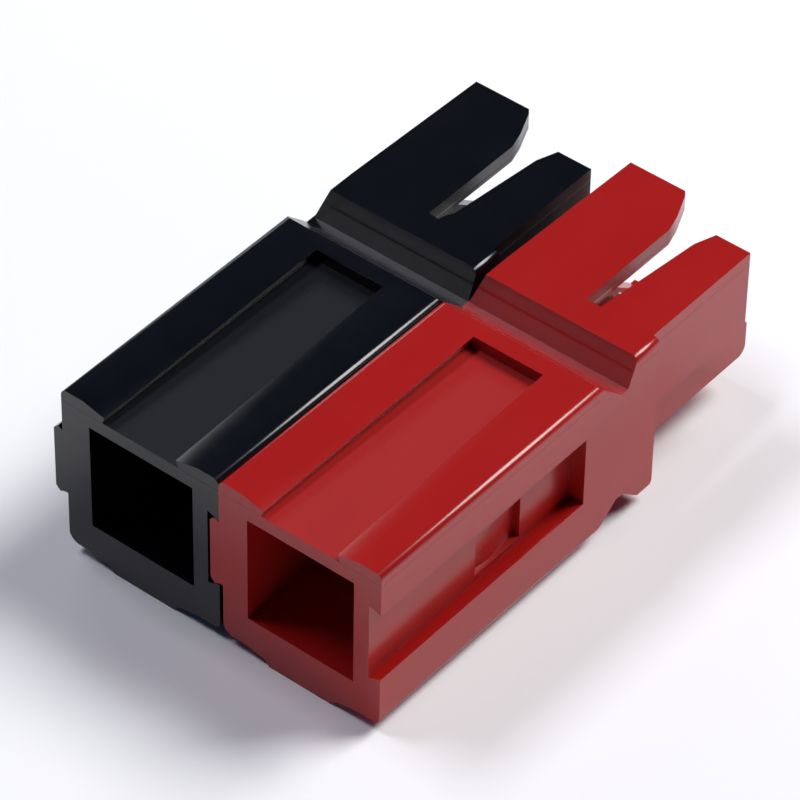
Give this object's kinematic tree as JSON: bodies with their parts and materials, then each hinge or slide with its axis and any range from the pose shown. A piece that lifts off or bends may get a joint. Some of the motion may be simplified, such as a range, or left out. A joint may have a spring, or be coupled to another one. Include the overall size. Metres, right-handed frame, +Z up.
{
  "type": "genderless power connector",
  "caption": "Square moulded housings joined side by side, each with a hood, a wire entry and a spring-backed flat blade, which mate with a copy turned over.",
  "frame": {"origin": "middle of the outline, on the surface that the bottom ridges stand on", "axes": "+Y from the wire entries to the hoods, +Z up to the slotted hoods, +X from the black pole to the red pole"},
  "size_m": [0.0162, 0.0246, 0.0083],
  "materials": {
    "red_plastic": "glossy moulded polycarbonate",
    "black_plastic": "glossy moulded polycarbonate",
    "silver_plate": "bright silver plate over copper",
    "spring_steel": "bright cold-rolled stainless strip"
  },
  "bodies": {
    "root": {"housing_red": "red_plastic", "housing_black": "black_plastic", "contact_red": "silver_plate", "contact_black": "silver_plate", "spring_red": "spring_steel", "spring_black": "spring_steel"}
  },
  "joints": []
}
